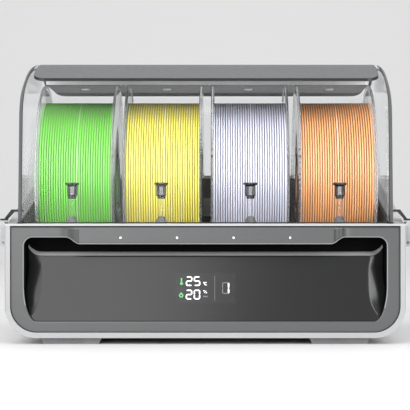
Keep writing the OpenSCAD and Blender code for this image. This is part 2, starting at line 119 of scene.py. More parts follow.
def spread(tree, source, low, high):
    """Noise, which mostly lies between 0.3 and 0.7, mapped to run from low to high."""
    node = tree.nodes.new("ShaderNodeMapRange")
    node.inputs["From Min"].default_value = 0.3
    node.inputs["From Max"].default_value = 0.7
    node.inputs["To Min"].default_value = low
    node.inputs["To Max"].default_value = high
    tree.links.new(source, node.inputs["Value"])
    return node.outputs["Result"]


def two_tone(tree, source, first, second):
    """A colour that goes from first to second as the source goes from 0 to 1."""
    node = tree.nodes.new("ShaderNodeMix")
    node.data_type = "RGBA"
    node.inputs["A"].default_value = (*first, 1)
    node.inputs["B"].default_value = (*second, 1)
    tree.links.new(source, node.inputs["Factor"])
    return node.outputs["Result"]


def add_bump(tree, shader, source, strength, distance_mm):
    node = tree.nodes.new("ShaderNodeBump")
    node.inputs["Strength"].default_value = strength
    node.inputs["Distance"].default_value = distance_mm * MM
    tree.links.new(source, node.inputs["Height"])
    tree.links.new(node.outputs["Normal"], shader.inputs["Normal"])


def plastic(name, colour, rough=0.42, grain_mm=0.5, bump=0.25, vary=0.06, specular=0.5, uneven=0.05):
    """Moulded plastic: a fine eroded grain, a little cloudiness and uneven gloss."""
    mat, tree, shader = new_material(name)
    shader.inputs["Specular IOR Level"].default_value = specular
    cloud = spread(tree, noise(tree, 14.0, 3.0), 0, 1)
    tone = two_tone(tree, cloud, scaled(colour, 1 - vary), scaled(colour, 1 + vary))
    tree.links.new(tone, shader.inputs["Base Color"])
    gloss = noise(tree, 160.0, 3.0)
    tree.links.new(spread(tree, gloss, rough - uneven, rough + uneven), shader.inputs["Roughness"])
    add_bump(tree, shader, noise(tree, 1 / (grain_mm * MM), 3.0, 0.6), bump, 0.05)
    return mat


def metal(name, colour, rough=0.3, stretch=(1, 12, 12)):
    """Machined metal with fine turning lines across X."""
    mat, tree, shader = new_material(name)
    shader.inputs["Metallic"].default_value = 1.0
    lines = noise(tree, 900.0, 2.0, 0.6, stretch)
    tone = two_tone(tree, spread(tree, lines, 0, 1), scaled(colour, 0.85), colour)
    tree.links.new(tone, shader.inputs["Base Color"])
    tree.links.new(spread(tree, lines, rough - 0.08, rough + 0.1), shader.inputs["Roughness"])
    add_bump(tree, shader, lines, 0.2, 0.02)
    return mat


def rubber(name, colour, rough=0.7):
    """Dull rubber with a coarse, dusty surface."""
    mat, tree, shader = new_material(name)
    shader.inputs["Specular IOR Level"].default_value = 0.35
    cloud = spread(tree, noise(tree, 60.0, 4.0), 0, 1)
    tree.links.new(two_tone(tree, cloud, colour, scaled(colour, 1.3)), shader.inputs["Base Color"])
    gloss = spread(tree, noise(tree, 400.0), rough - 0.08, rough + 0.08)
    tree.links.new(gloss, shader.inputs["Roughness"])
    add_bump(tree, shader, noise(tree, 1400.0, 4.0, 0.7), 0.35, 0.08)
    return mat


def clear_plastic(name, tint, rough=0.02, ior=1.45, haze=0.0, coat=0.0):
    """Clear moulding that lets lamps through, with faint uneven gloss from the mould."""
    mat, tree, shader = new_material(name)
    shader.inputs["Coat Weight"].default_value = coat
    shader.inputs["Coat Roughness"].default_value = 0.03
    shader.inputs["Transmission Weight"].default_value = 1.0 - haze
    shader.inputs["IOR"].default_value = ior
    cloud = spread(tree, noise(tree, 18.0, 2.0), 0, 1)
    tree.links.new(two_tone(tree, cloud, tint, scaled(tint, 1.03)), shader.inputs["Base Color"])
    tree.links.new(spread(tree, noise(tree, 40.0, 3.0), rough, rough + 0.02), shader.inputs["Roughness"])
    rays = tree.nodes.new("ShaderNodeLightPath")
    through = tree.nodes.new("ShaderNodeBsdfTransparent")
    through.inputs["Color"].default_value = (*[c ** 0.5 for c in tint], 1)
    mix = tree.nodes.new("ShaderNodeMixShader")
    tree.links.new(rays.outputs["Is Shadow Ray"], mix.inputs["Fac"])
    tree.links.new(shader.outputs["BSDF"], mix.inputs[1])
    tree.links.new(through.outputs["BSDF"], mix.inputs[2])
    tree.links.new(mix.outputs["Shader"], tree.nodes["Material Output"].inputs["Surface"])
    return mat


def strand_material(name, colour, deep):
    """Wound filament: semi-gloss, slightly translucent strands, streaked with a deeper tone."""
    mat, tree, shader = new_material(name)
    shader.inputs["Subsurface Weight"].default_value = 0.15
    shader.inputs["Subsurface Radius"].default_value = (0.002, 0.002, 0.002)
    streak = noise(tree, 220.0, 3.0, 0.6, (1, 0.12, 0.12))
    tree.links.new(two_tone(tree, spread(tree, streak, 0, 1), deep, colour), shader.inputs["Base Color"])
    tree.links.new(spread(tree, streak, 0.28, 0.4), shader.inputs["Roughness"])
    add_bump(tree, shader, noise(tree, 900.0, 3.0), 0.04, 0.02)
    return mat


def glow(name, colour, strength):
    """A lit surface, slightly uneven in tone."""
    mat, tree, shader = new_material(name)
    shader.inputs["Base Color"].default_value = (*colour, 1)
    shader.inputs["Emission Strength"].default_value = strength
    cloud = spread(tree, noise(tree, 900.0), 0, 1)
    paler = tuple(min(1.0, c * 1.1 + 0.02) for c in colour)
    tree.links.new(two_tone(tree, cloud, colour, paler), shader.inputs["Emission Color"])
    shader.inputs["Roughness"].default_value = 0.4
    return mat


MATS = {
    "casing_light": plastic("casing_light", (0.36, 0.364, 0.368), 0.42, bump=0.1, vary=0.02),
    "dark_plastic": plastic("dark_plastic", (0.018, 0.018, 0.02), 0.5, specular=0.3),
    "fascia_grey": plastic("fascia_grey", (0.088, 0.089, 0.091), 0.3, bump=0.05, vary=0.02, uneven=0.01),
    # lighter grey painted as a highlight on the rounded edge round the recess and on the tongue's lip
    "edge_highlight": plastic("edge_highlight", (0.27, 0.273, 0.276), 0.32, bump=0.05),
    "recess_dark": plastic("recess_dark", (0.013, 0.0133, 0.0138), 0.2, bump=0.03, vary=0.03,
                           specular=0.38, uneven=0.008),
    # near-black painted shade for the deep recess behind the panel
    "groove_shade": plastic("groove_shade", (0.003, 0.003, 0.003), 0.9, specular=0.05),
    "rim_light": plastic("rim_light", (0.42, 0.424, 0.43), 0.38, bump=0.1),
    "tub_dark": plastic("tub_dark", (0.075, 0.075, 0.08), 0.5),
    "foot_rubber": rubber("foot_rubber", (0.2, 0.2, 0.205), 0.6),
    "display_black": plastic("display_black", (0.006, 0.006, 0.007), 0.24, bump=0.02, specular=0.5),
    "board_green": plastic("board_green", (0.015, 0.11, 0.045), 0.35, grain_mm=1.2),
    "light_white": glow("light_white", (0.9, 0.95, 1.0), 0.9),
    "pale_plastic": plastic("pale_plastic", (0.6, 0.61, 0.62), 0.45),
    "bright_steel": metal("bright_steel", (0.6, 0.61, 0.62)),
    "black_plastic": plastic("black_plastic", (0.012, 0.012, 0.013), 0.22, bump=0.08),
    "collar_grey": plastic("collar_grey", (0.075, 0.075, 0.078), 0.4, specular=0.3),
    "tube_white": clear_plastic("tube_white", (0.97, 0.97, 0.98), 0.03, 1.03, coat=0.3),
    "latch_grey": plastic("latch_grey", (0.4, 0.41, 0.42), 0.35),
    "cap_grey": plastic("cap_grey", (0.14, 0.142, 0.145), 0.5, bump=0.12, vary=0.02, specular=0.12),
    "liner_grey": plastic("liner_grey", (0.3, 0.305, 0.31), 0.4),
    "seal_rubber": rubber("seal_rubber", (0.015, 0.015, 0.015)),
    "roller_rubber": rubber("roller_rubber", (0.03, 0.03, 0.03)),
    "gear_brass": metal("gear_brass", (0.75, 0.56, 0.28)),
    "lid_clear": clear_plastic("lid_clear", (0.945, 0.95, 0.955), 0.0, 1.02, coat=0.2),
    "spool_clear": clear_plastic("spool_clear", (0.93, 0.94, 0.95), 0.06, 1.18, 0.06),
    # opaque grey painted as the shade a thick clear corner shows seen edge-on, and a darker line beside
    # it
    "lid_corner_shade": plastic("lid_corner_shade", (0.11, 0.112, 0.115), 0.35, specular=0.2),
    "lid_inner_shade_line": plastic("lid_inner_shade_line", (0.02, 0.02, 0.021), 0.4, specular=0.2),
    # lighter and darker copies of the tray's grey, painted as highlight on its front and shade under it
    "liner_front_highlight": plastic("liner_front_highlight", (0.62, 0.63, 0.64), 0.35),
    "liner_under_shade": plastic("liner_under_shade", (0.07, 0.071, 0.073), 0.45, specular=0.2),
    "lamp_dim": glow("lamp_dim", (0.5, 0.5, 0.5), 0.3),
    # darker grey painted as the shade on the apron's curved step at each end
    "apron_end_shade": plastic("apron_end_shade", (0.035, 0.0355, 0.036), 0.3, bump=0.05, uneven=0.01),
    "pin_steel": metal("pin_steel", (0.2, 0.2, 0.21), 0.4),
    "cap_seam": plastic("cap_seam", (0.02, 0.02, 0.02), 0.5),
    # grey metal core, partly a metal insert and partly a painted highlight down the funnel's middle
    "funnel_core_and_highlight": metal("funnel_core_and_highlight", (0.2, 0.2, 0.205), 0.32),
    "digit_white": glow("digit_white", (0.95, 0.96, 1.0), 0.95),
    "digit_faint": glow("digit_faint", (0.14, 0.15, 0.16), 0.05),
    "icon_green": glow("icon_green", (0.1, 0.36, 0.12), 0.45),
}
FILAMENT_COLOURS = {
    "filament_green": (0.17, 0.58, 0.07),
    "filament_yellow": (0.74, 0.65, 0.1),
    "filament_white": (0.55, 0.55, 0.64),
    "filament_orange": (0.74, 0.35, 0.15),
}
FILAMENT_SLOTS = list(FILAMENT_COLOURS)
VALLEY_SHADE = 0.1       # how dark the painted shade in the valleys between strands is
STRAND_HIGHLIGHT_WHITE = 0.35   # how far the painted highlight on the middle strand goes towards white


def add_filament_materials(slot, tone):
    """The strands, painted shade in the valleys between them, and a paler copy painted as a highlight on
    the middle strand.
    """
    valley = scaled(tone, VALLEY_SHADE)
    pale = tuple(c + (1 - c) * STRAND_HIGHLIGHT_WHITE for c in tone)
    for kind, colour, deep in (("", tone, scaled(tone, 0.88)),
                               ("_valley", valley, scaled(valley, 0.8)),
                               ("_strand_highlight", pale, tone)):
        MATS[slot + kind] = strand_material(slot + kind, colour, deep)


for filament_slot, filament_tone in FILAMENT_COLOURS.items():
    add_filament_materials(filament_slot, filament_tone)


# ---------------------------------------------------------------- mesh tools

JOIN_DISTANCE = 1e-6    # in metres
FLAT_ANGLE = 0.6        # CAD faces that differ by less than this many degrees are joined before rounding


def add_mesh(name, verts, faces, mats, body, replaces=(), face_mats=None, sharp=SHARP_ANGLE):
    """A mesh piece from points in mm, which rides on a body."""
    mesh = bpy.data.meshes.new(name)
    mesh.from_pydata([[c * MM for c in v] for v in verts], [], faces)
    obj = bpy.data.objects.new(name, mesh)
    scene.collection.objects.link(obj)
    for mat in mats:
        mesh.materials.append(MATS[mat])
    if face_mats:
        mesh.polygons.foreach_set("material_index", face_mats)
    join_and_turn(obj)
    shade_smooth(obj, sharp)
    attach(obj, body)
    if replaces:
        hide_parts(*replaces)
    return obj


def join_and_turn(obj):
    """Joins points that coincide, and turns all faces outwards."""
    work = bmesh.new()
    work.from_mesh(obj.data)
    bmesh.ops.remove_doubles(work, verts=work.verts, dist=JOIN_DISTANCE)
    bmesh.ops.recalc_face_normals(work, faces=work.faces)
    work.to_mesh(obj.data)
    work.free()


def shade_smooth(obj, sharp):
    """Smooth shading, with edges sharper than the angle kept."""
    obj.data.polygons.foreach_set("use_smooth", [True] * len(obj.data.polygons))
    obj.data.set_sharp_from_angle(angle=math.radians(sharp))


def apply_modifiers(obj, sharp):
    """Replaces the piece's mesh by what its modifiers make."""
    graph = bpy.context.evaluated_depsgraph_get()
    made = bpy.data.meshes.new_from_object(obj.evaluated_get(graph))
    obj.modifiers.clear()
    obj.data = made
    shade_smooth(obj, sharp)


def loft(rings, closed=True):
    """Points and quads of a skin over rings with the same number of points."""
    count = len(rings[0])
    verts = [p for ring in rings for p in ring]
    faces = []
    last = count if closed else count - 1
    for r in range(len(rings) - 1):
        for i in range(last):
            j = (i + 1) % count
            faces.append((r * count + i, r * count + j, (r + 1) * count + j, (r + 1) * count + i))
    return verts, faces


def lathe(profile, centre, axis, steps):
    """The ring made by turning a closed profile of (radius, height) round an axis through centre."""
    verts, faces = [], []
    count = len(profile)
    for s in range(steps):
        a = 2 * math.pi * s / steps
        for r, h in profile:
            u, v = r * math.cos(a), r * math.sin(a)
            p = (u, v, h) if axis == "z" else (h, u, v)
            verts.append([p[k] + centre[k] for k in range(3)])
    for s in range(steps):
        t = (s + 1) % steps
        for i in range(count):
            j = (i + 1) % count
            faces.append((s * count + i, s * count + j, t * count + j, t * count + i))
    return verts, faces


def soften(node, width_mm):
    """Rounds the edges of a CAD node's shown surface; its own mesh stays as packed."""
    obj = frame["nodes"][node]
    flat = obj.modifiers.new("flat", "DECIMATE")
    flat.decimate_type = "DISSOLVE"
    flat.angle_limit = math.radians(FLAT_ANGLE)
    edge = obj.modifiers.new("edge", "BEVEL")
    edge.width = width_mm * MM
    edge.segments = 2
    edge.limit_method = "ANGLE"
    edge.angle_limit = math.radians(SHARP_ANGLE)
    edge.use_clamp_overlap = True
    even = obj.modifiers.new("even", "WEIGHTED_NORMAL")
    even.keep_sharp = False


def paint(node, mat):
    """Gives a CAD node one material."""
    mesh = frame["nodes"][node].data
    mesh.materials.clear()
    mesh.materials.append(MATS[mat])


# ---------------------------------------------------------------- camera and stage

CAMERA_X = 19.0
CAMERA_Z = 121.0
CAMERA_AWAY = 1500.0    # in front of the box
SENSOR_WIDTH = 36.0
LENS = 140.66
SHIFT_X = -0.0502
SHIFT_Y = 0.0251

# The floor and the lights are in metres.
FLOOR_HALF = 6.0
FLOOR_FRONT = -6.0
FLOOR_REAR = 2.4        # where the floor starts to curve up
BACKDROP_R = 1.2
BACKDROP_TOP = 4.0
FLOOR_TONE = 0.74       # grey value of the floor's colour
WORLD_STRENGTH = 0.62
LIGHTS = (
    # name, place, target, size, power
    ("backdrop", (0, 1.4, 2.4), (0, 3.4, 0.9), (4.0, 1.5), 26),
    ("top", (0, 0.1, 1.6), (0, 0, 0.1), (1.6, 1.2), 8),
    ("front_left", (-0.58, -1.45, 0.72), (-0.2, 0, 0.12), (1.15, 1.5), 18),
    ("left_strip", (-1.2, -1.0, 0.7), (-0.15, -0.1, 0.1), (0.4, 1.4), 5),
    ("right_strip", (1.0, -1.25, 0.72), (0.15, -0.1, 0.1), (0.42, 1.4), 15),
)


def add_camera():
    data = bpy.data.cameras.new("camera")
    data.sensor_width = SENSOR_WIDTH
    data.lens = LENS
    data.shift_x = SHIFT_X
    data.shift_y = SHIFT_Y
    cam = bpy.data.objects.new("camera", data)
    front = cad_bounds[0][1]
    cam.location = (CAMERA_X * MM, front - CAMERA_AWAY * MM, CAMERA_Z * MM)
    cam.rotation_euler = (math.pi / 2, 0, 0)
    scene.collection.objects.link(cam)
    scene.camera = cam


def add_light(name, place, target, size, power):
    data = bpy.data.lights.new(name, "AREA")
    data.shape = "RECTANGLE"
    data.size, data.size_y = size
    data.energy = power
    lamp = bpy.data.objects.new(name, data)
    lamp.location = place
    aim = Vector(target) - Vector(place)
    lamp.rotation_euler = aim.to_track_quat("-Z", "Y").to_euler()
    scene.collection.objects.link(lamp)


def add_floor():
    """Pale floor that curves up into a backdrop, far enough for every view."""
    steps = 12
    profile = [(FLOOR_FRONT, 0.0), (FLOOR_REAR, 0.0)]
    for i in range(1, steps + 1):
        a = math.pi / 2 * i / steps
        profile.append((FLOOR_REAR + BACKDROP_R * math.sin(a), BACKDROP_R * (1 - math.cos(a))))
    profile.append((FLOOR_REAR + BACKDROP_R, BACKDROP_TOP))
    verts, faces = [], []
    for y, z in profile:
        verts += [(-FLOOR_HALF, y, z), (FLOOR_HALF, y, z)]
    for i in range(len(profile) - 1):
        faces.append((2 * i, 2 * i + 1, 2 * i + 3, 2 * i + 2))
    mesh = bpy.data.meshes.new("floor")
    mesh.from_pydata(verts, [], faces)
    mesh.polygons.foreach_set("use_smooth", [True] * len(mesh.polygons))
    floor = bpy.data.objects.new("floor", mesh)
    scene.collection.objects.link(floor)
    mat, _, shader = new_material("floor")
    shader.inputs["Base Color"].default_value = (FLOOR_TONE, FLOOR_TONE, FLOOR_TONE, 1)
    shader.inputs["Roughness"].default_value = 0.8
    shader.inputs["Specular IOR Level"].default_value = 0.1
    mesh.materials.append(mat)


def add_stage():
    """Floor, even white surroundings and the studio lights."""
    add_floor()
    world = bpy.data.worlds.new("world")
    scene.world = world
    world.use_nodes = True
    background = world.node_tree.nodes["Background"]
    background.inputs["Color"].default_value = (1.0, 1.0, 1.0, 1)
    background.inputs["Strength"].default_value = WORLD_STRENGTH
    for light in LIGHTS:
        add_light(*light)


# ---------------------------------------------------------------- front panel

PANEL_LOW, PANEL_HIGH = box_mm("front_panel")
PANEL_GAP = 0.2         # how far the shown panel's outline lies inside the CAD panel's
FRONT = PANEL_LOW.y     # plane of the front panel
OUTER_HALF = PANEL_HIGH.x - PANEL_GAP
OUTER_LOW = PANEL_LOW.z + PANEL_GAP
OUTER_TOP = PANEL_HIGH.z - PANEL_GAP
OUTER_R = 25.0
FACE_SET = 1.6          # how far the panel's face at its ends lies behind that plane
ROUND_IN = 0.9          # rounding of the edge round the recess
ROUND_OUT = 0.5         # rounding of the panel's outer edge
RECESS_HALF = 170.4
RECESS_LOW = 21.7
RECESS_R = 8.0
RECESS_DEPTH = 24.0
END_FLAT = 158.8        # where the recess's lower corners start
END_RISE = 33.4         # height of the recess's lower corners
APRON_LOW = 93.8
APRON_HIGH = 100.2
APRON_HALF = 118.0
APRON_BLEND = 13.0      # over what width the apron's lower edge goes from low to high
APRON_OUT = 1.5         # how far the apron's middle stands out
APRON_FADE = 14.0       # over what width it comes back at each end
APRON_GROOVE = 1.6      # depth of the shallow groove at each end of it
GROOVE_HALF = 3.5
APRON_SHADE_SPAN = (118.5, 131.5)    # from where to where painted shade darkens each end of the apron, over its curved step
HIGHLIGHT_EDGE_LOW = RECESS_LOW + 14.0  # the painted highlight on the edge round the recess starts above this
# slots of the panel: its face, the painted highlight on its edge and the painted shade at the apron's
# ends
FACE_TONE, EDGE_HIGHLIGHT_TONE, APRON_SHADE_TONE = 0, 1, 2


def ease(t):
    """A smooth step from 0 to 1 as t goes from 0 to 1."""
    t = min(1.0, max(0.0, t))
    return t * t * (3 - 2 * t)


def apron_z(x):
    """Height of the apron's lower edge: low across the middle, high at the ends."""
    return APRON_LOW + (APRON_HIGH - APRON_LOW) * ease((abs(x) - APRON_HALF) / APRON_BLEND)


def recess_half(z):
    """Half width of the recess at a height, with its long elliptical lower corners."""
    drop = (RECESS_LOW + END_RISE - z) / END_RISE
    if drop <= 0:
        return RECESS_HALF
    return END_FLAT + (RECESS_HALF - END_FLAT) * math.sqrt(max(0.0, 1 - min(1.0, drop) ** 2))


def front_outlines():
    """The outlines of the recess and the panel, with points in pairs, clockwise from the top middle."""
    inner, outer = [], []
    top_steps, arc_steps, side_steps, low_steps, base_steps = 70, 8, 20, 16, 40
    paired_until = 140.0    # up to here the points of a pair lie straight above each other
    corner = 8.0            # length of the panel's top edge, and of its side, beside the upper corner
    side_run = 20.0         # length of the panel's side beside the lower corner
    side_run_share = 0.35   # share of that corner's points which it takes
    inner_top_end = RECESS_HALF - RECESS_R
    outer_top_end = OUTER_HALF - corner
    for i in range(top_steps):
        x = inner_top_end * i / top_steps
        inner.append((x, apron_z(x)))
        beyond = max(0.0, x - paired_until) / (inner_top_end - paired_until)
        outer.append((min(x, paired_until) + beyond * (outer_top_end - paired_until), OUTER_TOP))
    for i in range(arc_steps):
        a = math.pi / 2 * i / arc_steps
        inner.append((inner_top_end + RECESS_R * math.sin(a), APRON_HIGH - RECESS_R * (1 - math.cos(a))))
        along = 2 * corner * i / arc_steps
        outer.append((outer_top_end + min(along, corner), OUTER_TOP - max(0.0, along - corner)))
    side_top = APRON_HIGH - RECESS_R
    side_low = RECESS_LOW + END_RISE
    outer_side_top = OUTER_TOP - corner
    outer_side_low = OUTER_LOW + OUTER_R + side_run
    for i in range(side_steps):
        t = i / side_steps
        inner.append((RECESS_HALF, side_top + (side_low - side_top) * t))
        outer.append((OUTER_HALF, outer_side_top + (outer_side_low - outer_side_top) * t))
    for i in range(low_steps):
        t = i / low_steps
        a = math.pi / 2 * t
        x = END_FLAT + (RECESS_HALF - END_FLAT) * math.cos(a)
        inner.append((x, side_low - END_RISE * math.sin(a)))
        turn = math.pi / 2 * max(0.0, (t - side_run_share) / (1 - side_run_share))
        down = outer_side_low - side_run * min(1.0, t / side_run_share)
        outer.append((OUTER_HALF - OUTER_R * (1 - math.cos(turn)), down - OUTER_R * math.sin(turn)))
    for i in range(base_steps):
        t = i / base_steps
        inner.append((END_FLAT * (1 - t), RECESS_LOW))
        outer.append(((OUTER_HALF - OUTER_R) * (1 - t), OUTER_LOW))
    return mirrored(inner), mirrored(outer)


def mirrored(side):
    """A closed loop from its right half, which starts at the top middle."""
    return side + [(0.0, side[-1][1])] + [(-x, z) for x, z in reversed(side[1:])]


def shrink(loop, amount):
    """The loop moved towards its own inside by amount, along each point's normal."""
    moved = []
    for i, (x, z) in enumerate(loop):
        before, after = loop[i - 1], loop[(i + 1) % len(loop)]
        tx, tz = after[0] - before[0], after[1] - before[1]
        size = math.hypot(tx, tz)
        moved.append((x + tz / size * amount, z - tx / size * amount))
    return moved


def between(first, second, t):
    """A loop part of the way from the first loop to the second."""
    return [(a[0] + (b[0] - a[0]) * t, a[1] + (b[1] - a[1]) * t) for a, b in zip(first, second)]


def apron_bulge(x, z):
    """How far the middle of the apron stands out from its ends."""
    across = ease((APRON_HALF + APRON_FADE - abs(x)) / APRON_FADE)
    groove_middle = APRON_HALF + 11.0
    groove = APRON_GROOVE * math.exp(-((abs(x) - groove_middle) / GROOVE_HALF) ** 2)
    return (APRON_OUT * across - groove) * ease((z - 90.0) / 4.0)


def panel_ring(loop, depth):
    """The loop at a depth behind the panel's face, which follows the apron's bulge."""
    return [(x, FRONT + FACE_SET + depth - apron_bulge(x, z), z) for x, z in loop]


def add_front_panel():
    """The panel's face with its rounded edges, and the near-black liner of the recess behind it, which
    paints the shade deep inside the recess.
    """
    inner, outer = front_outlines()
    rings = [panel_ring(outer, 3.0)]
    for k in range(4):
        a = math.pi / 2 * k / 3
        edge = shrink(outer, ROUND_OUT * math.sin(a))
        rings.append(panel_ring(edge, ROUND_OUT * (1 - math.sin(a))))
    start, end = shrink(outer, ROUND_OUT), shrink(inner, -ROUND_IN)
    face_steps = 8
    for k in range(1, face_steps + 1):
        rings.append(panel_ring(between(start, end, k / face_steps), 0.0))
    edge_from = len(rings) - 1
    for k in range(1, 4):
        a = math.pi / 2 * k / 3
        edge = shrink(inner, -ROUND_IN * (1 - math.sin(a)))
        rings.append(panel_ring(edge, ROUND_IN * (1 - math.cos(a))))
    edge_to = len(rings) - 1
    rings.append(panel_ring(inner, 2.2))
    rings.append(panel_ring(shrink(inner, -1.6), 2.2))
    rings.append(panel_ring(shrink(inner, -1.6), 3.0))
    verts, faces = loft(rings)
    tones = []
    for f in range(len(faces)):
        row, place = divmod(f, len(inner))
        x, z = inner[place]
        tone = FACE_TONE
        # each end of the apron gets painted shade over its curved step
        if row > 4 and z > APRON_LOW - 1 and APRON_SHADE_SPAN[0] < abs(x) < APRON_SHADE_SPAN[1]:
            tone = APRON_SHADE_TONE
        # the rounded edge round the recess, above its lower corners, gets a painted highlight
        if edge_from <= row < edge_to and z > HIGHLIGHT_EDGE_LOW:
            tone = EDGE_HIGHLIGHT_TONE
        tones.append(tone)
    add_mesh("fascia", verts, faces, ["fascia_grey", "edge_highlight", "apron_end_shade"], BASE,
             ["front_panel"], tones)
    add_groove_shade_liner(inner)


def add_groove_shade_liner(inner):
    """Near-black walls and back of the recess, just outside the panel's opening, painted as the shade
    deep inside it.
    """
    wall = shrink(inner, -0.1)
    rings = [panel_ring(shrink(inner, -1.2), 0.8), panel_ring(wall, 0.8),
             [(x, FRONT + RECESS_DEPTH, z) for x, z in wall]]
    verts, faces = loft(rings)
    faces.append(tuple(range(2 * len(inner), 3 * len(inner))))
    add_mesh("groove_shade_liner", verts, faces, ["groove_shade"], BASE)


# ---------------------------------------------------------------- leaning panel in the recess

LIP_Z = 82.8            # height of the bend between the leaning panel and its lip
LIP_H = 3.6
LEAN_DEPTH = 18.0
TONGUE_SET = 1.0        # how far the panel's foot lies behind the front plane
CREASE_HALF = 153.8     # half width of the flat part at its narrowest
CREASE_Z = 57.0         # height of that
END_GAP = 0.15          # between the panel's ends and the recess's walls
CURL_RISE = 7.5         # how far the lip rises at the ends
CURL_DROP = 5.6         # how far the ends curl back


def crease_half(z):
    """Half width of the flat part of the leaning panel, where its ends start to curl back."""
    if z < CREASE_Z:
        return min(CREASE_HALF + 11.0 * min(1.0, (CREASE_Z - z) / 32) ** 3, recess_half(z) - 1.5)
    return CREASE_HALF + 2.1 * ((z - CREASE_Z) / 24) ** 2


def edge_half(z):
    """Where the curled end stops, at the wall low down and short of it higher up."""
    return recess_half(z) - END_GAP - 1.9 * ease((z - 45) / 25)


def lean(z):
    """How far the leaning panel lies behind its foot at a height."""
    return LEAN_DEPTH * (z - RECESS_LOW) / (LIP_Z - RECESS_LOW)


def tongue_point(side, s, z):
    """A point of the leaning panel: s runs from -1 in the middle over 0 at the crease to 1 at the end."""
    if s <= 0:
        return (side * crease_half(z) * (1 + s), FRONT + TONGUE_SET + lean(z), z)
    x = crease_half(z) + (edge_half(z) - crease_half(z)) * s
    drop = min(0.5 + CURL_DROP * ease((z - RECESS_LOW) / 18), RECESS_DEPTH - 3 - lean(z))
    curl = 0.75 * s + 0.25 * (1 - math.sqrt(max(0.0, 1 - s * s)))
    return (side * x, FRONT + TONGUE_SET + lean(z) + drop * curl, z)


def add_recess_panel():
    """The tongue that leans back: flat between creases, with ends that curl back into the recess."""
    flat_steps, curl_steps, rows = 60, 14, 40
    stations = [(-1, s / curl_steps) for s in range(curl_steps, 0, -1)]
    stations += [(-1, -s / flat_steps) for s in range(0, flat_steps)]
    stations += [(1, -s / flat_steps) for s in range(flat_steps, -1, -1)]
    stations += [(1, s / curl_steps) for s in range(1, curl_steps + 1)]
    low = RECESS_LOW + 0.3
    rings = []
    for r in range(rows + 1):
        ring = []
        for side, s in stations:
            top = LIP_Z + CURL_RISE * max(0.0, s) ** 2.2
            ring.append(tongue_point(side, s, low + (top - low) * r / rows))
        rings.append(ring)
    lip = ((1.2, 1.5), (2.6, 3.0), (4.2, LIP_H), (5.5, LIP_H + 0.1), (5.6, LIP_H - 1.5))
    for back, up in lip:
        rings.append([(x, min(y + back, FRONT + RECESS_DEPTH - 0.3), z + up) for x, y, z in rings[rows]])
    verts, faces = loft(rings, closed=False)
    row_faces = len(stations) - 1
    # the lip's rows get a painted highlight
    tones = [EDGE_HIGHLIGHT_TONE if rows <= f // row_faces < rows + 4 else FACE_TONE for f in range(len(faces))]
    add_mesh("recess_tongue", verts, faces, ["recess_dark", "edge_highlight"], BASE,
             ["recess_panel"], tones, 28.0)


# ---------------------------------------------------------------- display

WINDOW_LEAN = math.atan(LEAN_DEPTH / (LIP_Z - RECESS_LOW))
GLASS_R = 0.8           # corner radius of the display's glass
GLASS_OUT = 0.15        # how far the glass stands out from the panel
MARK_OUT = 0.16         # underside of the marks on the glass
DIGIT_SIZE = (4.9, 8.2)
DIGIT_THICK = 1.05
DIGIT_X = (-17.9, -10.4)    # lower left corners of the two digits of a number
TOP_ROW = 2.8           # height of the upper number above the display's middle
LOW_ROW = -10.2
DIVIDER_X = 8.6
DIVIDER_HALF = 12.2
THERMOMETER_X = -22.6
DROP_X = -22.8
DROP_R = 2.1


def on_panel(x, s, out):
    """A point on the leaning panel: x across, s up the slope, out in front of it."""
    y = FRONT + TONGUE_SET + s * math.sin(WINDOW_LEAN) - out * math.cos(WINDOW_LEAN)
    return (x, y, RECESS_LOW + s * math.cos(WINDOW_LEAN) + out * math.sin(WINDOW_LEAN))


def plate_piece(name, outlines, out_low, out_high, mat):
    """Flat raised shapes on the leaning panel, each from an outline of (x, s) points."""
    verts, faces = [], []
    for outline in outlines:
        n, base = len(outline), len(verts)
        verts += [on_panel(x, s, out_low) for x, s in outline]
        verts += [on_panel(x, s, out_high) for x, s in outline]
        faces.append(tuple(base + n + i for i in range(n)))
        faces.append(tuple(base + n - 1 - i for i in range(n)))
        for i in range(n):
            j = (i + 1) % n
            faces.append((base + i, base + j, base + n + j, base + n + i))
    return add_mesh(name, verts, faces, [mat], BASE)


def bar(x0, s0, x1, s1, width):
    """A segment with pointed ends between two points."""
    dx, ds = x1 - x0, s1 - s0
    size = math.hypot(dx, ds)
    ux, us = dx / size, ds / size
    h = width / 2
    return [(x0, s0), (x0 + (ux - us) * h, s0 + (us + ux) * h), (x1 - (ux + us) * h, s1 - (us - ux) * h),
            (x1, s1), (x1 - (ux - us) * h, s1 - (us + ux) * h), (x0 + (ux + us) * h, s0 + (us - ux) * h)]


# The segments of a seven-segment digit: a is the top, b to f follow clockwise, and g is the middle.
SEGMENTS = {"0": "abcdef", "1": "bc", "2": "abged", "5": "afgcd"}


def digit(x, s, w, h, segments, thick):
    """Outlines of the named segments of a seven-segment digit with its lower left corner at (x, s)."""
    gap = thick * 0.12
    ends = {
        "a": (x, s + h, x + w, s + h), "g": (x, s + h / 2, x + w, s + h / 2), "d": (x, s, x + w, s),
        "f": (x, s + h / 2, x, s + h), "b": (x + w, s + h / 2, x + w, s + h),
        "e": (x, s, x, s + h / 2), "c": (x + w, s, x + w, s + h / 2),
    }
    made = []
    for key in segments:
        x0, s0, x1, s1 = ends[key]
        if s0 == s1:
            made.append(bar(x0 + gap, s0, x1 - gap, s1, thick))
        else:
            made.append(bar(x0, s0 + gap, x1, s1 - gap, thick))
    return made


def disc(x, s, r, steps=20):
    turns = [2 * math.pi * i / steps for i in range(steps)]
    return [(x + r * math.cos(a), s + r * math.sin(a)) for a in turns]


def strip(x0, s0, x1, s1):
    """An upright rectangle between two corners."""
    return [(x0, s0), (x1, s0), (x1, s1), (x0, s1)]


